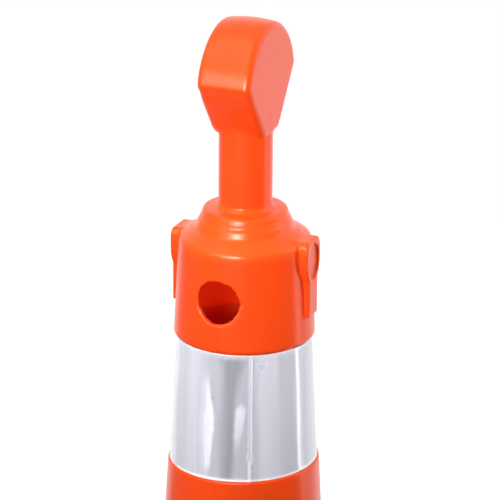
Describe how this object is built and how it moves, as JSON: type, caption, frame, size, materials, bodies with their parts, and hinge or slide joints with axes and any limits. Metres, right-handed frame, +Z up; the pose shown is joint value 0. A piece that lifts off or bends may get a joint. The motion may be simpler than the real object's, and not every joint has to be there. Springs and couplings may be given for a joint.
{
  "type": "traffic barrier post",
  "caption": "Hollow plastic barrier post with a shield-shaped grab head, stepped cap with a bar hole and side lugs, reflective sleeves and a lift-off octagonal rubber base.",
  "frame": {"origin": "centre of the post's foot, on the ground", "axes": "+Z up along the post; the head's long way and the cap's bar hole run along Y; the two lugs and the head's flat faces look along +X and -X"},
  "size_m": [0.4, 0.4, 1.152],
  "materials": {
    "post_plastic": "orange-red blow-moulded polyethylene, semi-gloss, slightly translucent, with fine vertical moulding streaks and a parting line",
    "reflective_film": "silver-grey retroreflective film, glossy, slightly rippled, with bright cut edges and a glued overlap seam",
    "base_rubber": "black recycled granulate rubber, matt, fine pitted grain"
  },
  "bodies": {
    "post": {"post_body": "post_plastic", "reflective_sleeve_upper": "reflective_film", "reflective_sleeve_lower": "reflective_film"},
    "base": {"rubber_base": "base_rubber"}
  },
  "joints": [
    {"name": "base_lift", "type": "slide", "parent": "post", "child": "base", "axis": [0, 0, 1], "range_m": [0, 1.2]}
  ]
}
